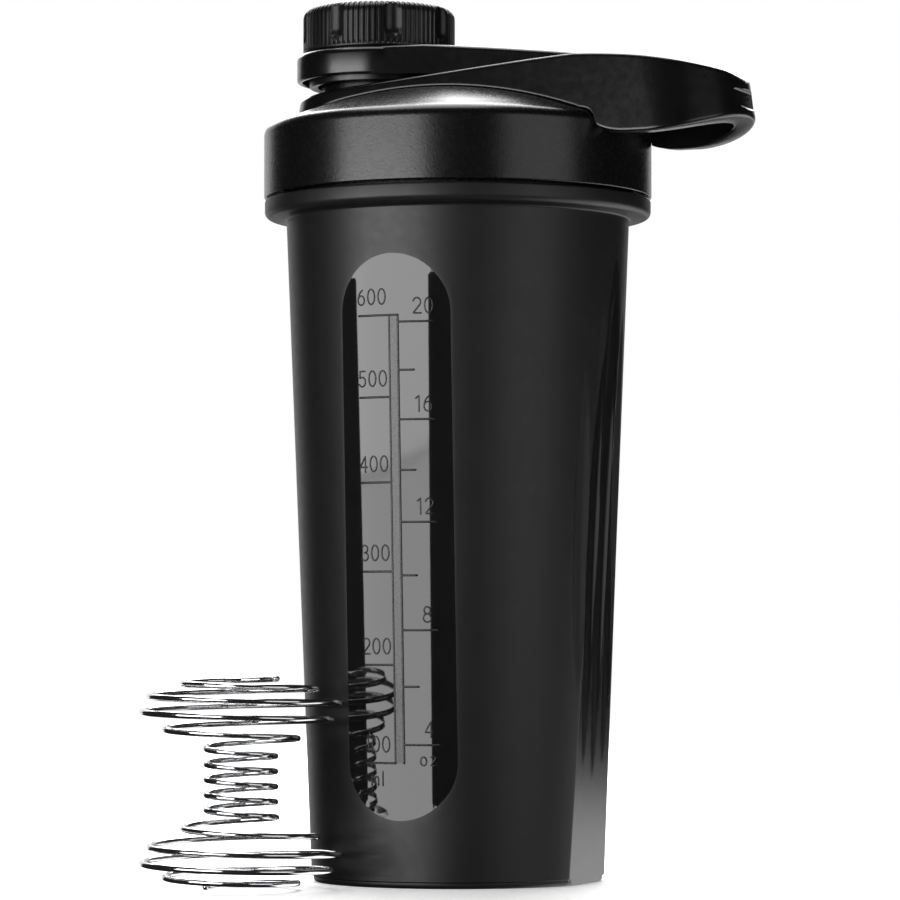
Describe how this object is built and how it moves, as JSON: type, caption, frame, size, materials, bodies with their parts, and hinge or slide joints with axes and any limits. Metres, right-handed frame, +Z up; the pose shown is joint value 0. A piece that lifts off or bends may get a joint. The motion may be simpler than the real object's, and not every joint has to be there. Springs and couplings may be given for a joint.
{
  "type": "shaker bottle",
  "caption": "Tapered matte shaker bottle with a screw lid, tethered ribbed spout cap, carry loop, polished scale window, grooved grips and a loose wire whisk.",
  "frame": {"origin": "centre of the cup's base, on the surface the bottle stands on", "axes": "+Z up along the bottle's axis; +X towards the carry loop, the spout lies towards -X; the scale window faces -Y"},
  "size_m": [0.1358, 0.1276, 0.2199],
  "materials": {
    "cup_plastic": "fine matte mould texture with a polished window",
    "lid_plastic": "pebbled satin",
    "handle_plastic": "fine satin",
    "cap_plastic": "satin with moulded ribs",
    "silicone": "soft translucent silicone",
    "steel": "bright drawn wire"
  },
  "bodies": {
    "cup": {"cup": "cup_plastic"},
    "gasket": {"lid_gasket": "silicone"},
    "lid": {"lid": "lid_plastic", "carry_handle": "handle_plastic", "hinge_pin": "steel"},
    "arm": {"cap_arm": "handle_plastic"},
    "cap": {"spout_cap": "cap_plastic", "cap_seal": "silicone"},
    "whisk": {"whisk": "steel"}
  },
  "joints": [
    {"name": "lid_lift", "type": "slide", "parent": "cup", "child": "gasket", "axis": [0, 0, 1], "range_m": [0, 0.0181]},
    {"name": "lid_turn", "type": "hinge", "parent": "gasket", "child": "lid", "pos_m": [0, 0, 0.18], "axis": [0, 0, 1], "range_deg": [0, 1080]},
    {"name": "arm_swing", "type": "hinge", "parent": "lid", "child": "arm", "pos_m": [0.04296, 0, 0.2002], "axis": [0, 1, 0], "range_deg": [0, 140]},
    {"name": "cap_turn", "type": "hinge", "parent": "arm", "child": "cap", "pos_m": [-0.0216, 0, 0.21], "axis": [0, 0, 1], "range_deg": [0, 450]},
    {"name": "whisk_lift", "type": "slide", "parent": "cup", "child": "whisk", "axis": [-0.2629, -0.4253, 0.866], "range_m": [0, 0.15]}
  ],
  "couplings": [
    {"joint": "lid_lift", "follows": "lid_turn", "m_per_rad": 0.00095493}
  ]
}
